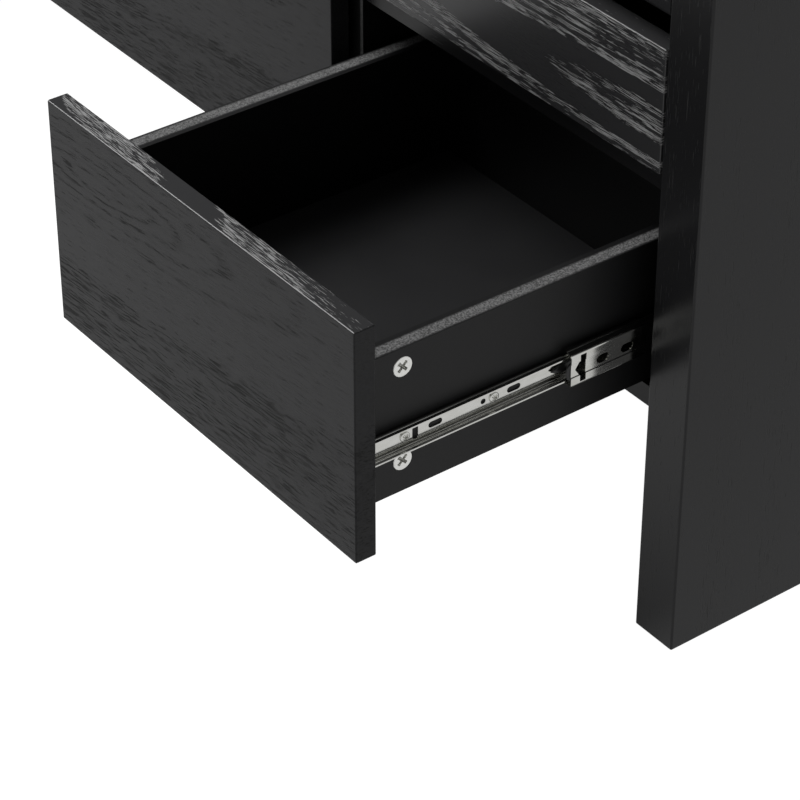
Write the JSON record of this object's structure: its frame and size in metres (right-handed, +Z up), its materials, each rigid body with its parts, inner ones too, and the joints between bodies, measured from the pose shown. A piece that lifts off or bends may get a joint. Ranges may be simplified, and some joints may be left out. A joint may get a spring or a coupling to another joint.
{
  "type": "low drawer cabinet",
  "caption": "Low black oak-grain cabinet on slab legs, with handle-less drawers in a wide and a narrow column that run on telescopic metal runners.",
  "frame": {"origin": "on the floor, at the middle of the footprint taken up with the narrow lower drawer standing open as in the picture", "axes": "+X to the right along the fronts, +Y to the back, +Z up"},
  "size_m": [1.16, 0.619, 0.5175],
  "materials": {
    "black_oak": "black oak-grain foil, embossed, satin",
    "black_melamine": "black melamine-faced board, matt",
    "black_hardboard": "black lacquered hardboard, smooth matt",
    "zinc_steel": "zinc-plated rolled steel",
    "nickel_zinc": "nickel-plated zinc casting, satin",
    "black_plastic": "moulded black plastic",
    "beech": "bare fluted beech"
  },
  "bodies": {
    "cabinet": {"narrow_lower_cabinet_rails": "zinc_steel", "narrow_upper_cabinet_rails": "zinc_steel", "wide_lower_cabinet_rails": "zinc_steel", "wide_upper_cabinet_rails": "zinc_steel", "left_leg": "black_oak", "right_leg": "black_oak", "top_panel": "black_oak", "base_panel": "black_melamine", "divider": "black_melamine", "stretchers": "black_oak", "back_panel": "black_hardboard", "runner_spacers": "black_melamine", "panel_cam_fittings": "nickel_zinc", "dowels": "beech", "runner_screws": "zinc_steel", "back_screws": "zinc_steel"},
    "narrow_lower_drawer": {"narrow_lower_front": "black_oak", "narrow_lower_left_side": "black_melamine", "narrow_lower_right_side": "black_melamine", "narrow_lower_back": "black_melamine", "narrow_lower_bottom": "black_hardboard", "narrow_lower_cam_fittings": "nickel_zinc", "narrow_lower_screws": "zinc_steel", "narrow_lower_drawer_rails": "zinc_steel", "narrow_lower_release_levers": "black_plastic"},
    "narrow_lower_middle": {"narrow_lower_middle_rails": "zinc_steel", "narrow_lower_ball_cages": "zinc_steel"},
    "narrow_upper_drawer": {"narrow_upper_front": "black_oak", "narrow_upper_left_side": "black_melamine", "narrow_upper_right_side": "black_melamine", "narrow_upper_back": "black_melamine", "narrow_upper_bottom": "black_hardboard", "narrow_upper_cam_fittings": "nickel_zinc", "narrow_upper_screws": "zinc_steel", "narrow_upper_drawer_rails": "zinc_steel", "narrow_upper_release_levers": "black_plastic"},
    "narrow_upper_middle": {"narrow_upper_middle_rails": "zinc_steel", "narrow_upper_ball_cages": "zinc_steel"},
    "wide_lower_drawer": {"wide_lower_front": "black_oak", "wide_lower_left_side": "black_melamine", "wide_lower_right_side": "black_melamine", "wide_lower_back": "black_melamine", "wide_lower_bottom": "black_hardboard", "wide_lower_cam_fittings": "nickel_zinc", "wide_lower_screws": "zinc_steel", "wide_lower_drawer_rails": "zinc_steel", "wide_lower_release_levers": "black_plastic"},
    "wide_lower_middle": {"wide_lower_middle_rails": "zinc_steel", "wide_lower_ball_cages": "zinc_steel"},
    "wide_upper_drawer": {"wide_upper_front": "black_oak", "wide_upper_left_side": "black_melamine", "wide_upper_right_side": "black_melamine", "wide_upper_back": "black_melamine", "wide_upper_bottom": "black_hardboard", "wide_upper_cam_fittings": "nickel_zinc", "wide_upper_screws": "zinc_steel", "wide_upper_drawer_rails": "zinc_steel", "wide_upper_release_levers": "black_plastic"},
    "wide_upper_middle": {"wide_upper_middle_rails": "zinc_steel", "wide_upper_ball_cages": "zinc_steel"}
  },
  "joints": [
    {"name": "narrow_lower_slide", "type": "slide", "parent": "cabinet", "child": "narrow_lower_drawer", "axis": [0, -1, 0], "range_m": [-0.239, 0.061]},
    {"name": "narrow_lower_middle_slide", "type": "slide", "parent": "cabinet", "child": "narrow_lower_middle", "axis": [0, -1, 0], "range_m": [-0.08313, 0.02137]},
    {"name": "narrow_upper_slide", "type": "slide", "parent": "cabinet", "child": "narrow_upper_drawer", "axis": [0, -1, 0], "range_m": [0, 0.3]},
    {"name": "narrow_upper_middle_slide", "type": "slide", "parent": "cabinet", "child": "narrow_upper_middle", "axis": [0, -1, 0], "range_m": [0, 0.1043]},
    {"name": "wide_lower_slide", "type": "slide", "parent": "cabinet", "child": "wide_lower_drawer", "axis": [0, -1, 0], "range_m": [0, 0.3]},
    {"name": "wide_lower_middle_slide", "type": "slide", "parent": "cabinet", "child": "wide_lower_middle", "axis": [0, -1, 0], "range_m": [0, 0.1043]},
    {"name": "wide_upper_slide", "type": "slide", "parent": "cabinet", "child": "wide_upper_drawer", "axis": [0, -1, 0], "range_m": [0, 0.3]},
    {"name": "wide_upper_middle_slide", "type": "slide", "parent": "cabinet", "child": "wide_upper_middle", "axis": [0, -1, 0], "range_m": [0, 0.1043]}
  ],
  "couplings": [
    {"joint": "narrow_lower_middle_slide", "follows": "narrow_lower_slide", "ratio": 0.347},
    {"joint": "narrow_upper_middle_slide", "follows": "narrow_upper_slide", "ratio": 0.347},
    {"joint": "wide_lower_middle_slide", "follows": "wide_lower_slide", "ratio": 0.347},
    {"joint": "wide_upper_middle_slide", "follows": "wide_upper_slide", "ratio": 0.347}
  ]
}
